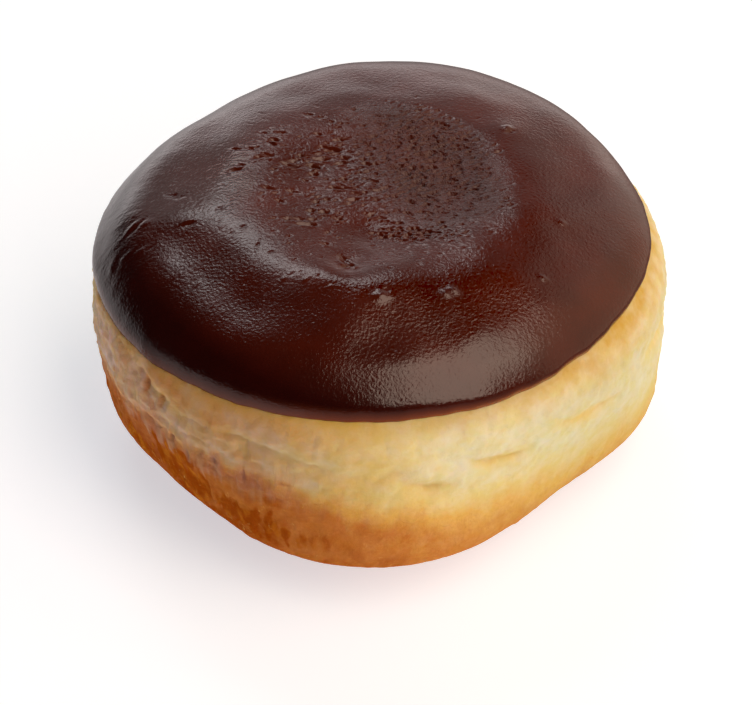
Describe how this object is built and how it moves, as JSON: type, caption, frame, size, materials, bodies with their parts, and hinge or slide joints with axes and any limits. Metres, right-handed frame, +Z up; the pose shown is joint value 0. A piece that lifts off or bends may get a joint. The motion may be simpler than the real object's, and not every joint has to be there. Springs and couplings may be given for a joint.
{
  "type": "cream-filled doughnut",
  "caption": "Filled round shell doughnut with a pale waist, a browned underside and a smooth cap of dark chocolate icing.",
  "frame": {"origin": "middle of the flat foot, on the surface that the doughnut stands on", "axes": "+Z up, -Y towards the side that faces the viewer, +X to that viewer's right"},
  "size_m": [0.0889, 0.0917, 0.0443],
  "materials": {
    "fried_dough": "matte",
    "chocolate_icing": "semi-gloss"
  },
  "bodies": {
    "root": {"dough": "fried_dough", "icing": "chocolate_icing"}
  },
  "joints": []
}
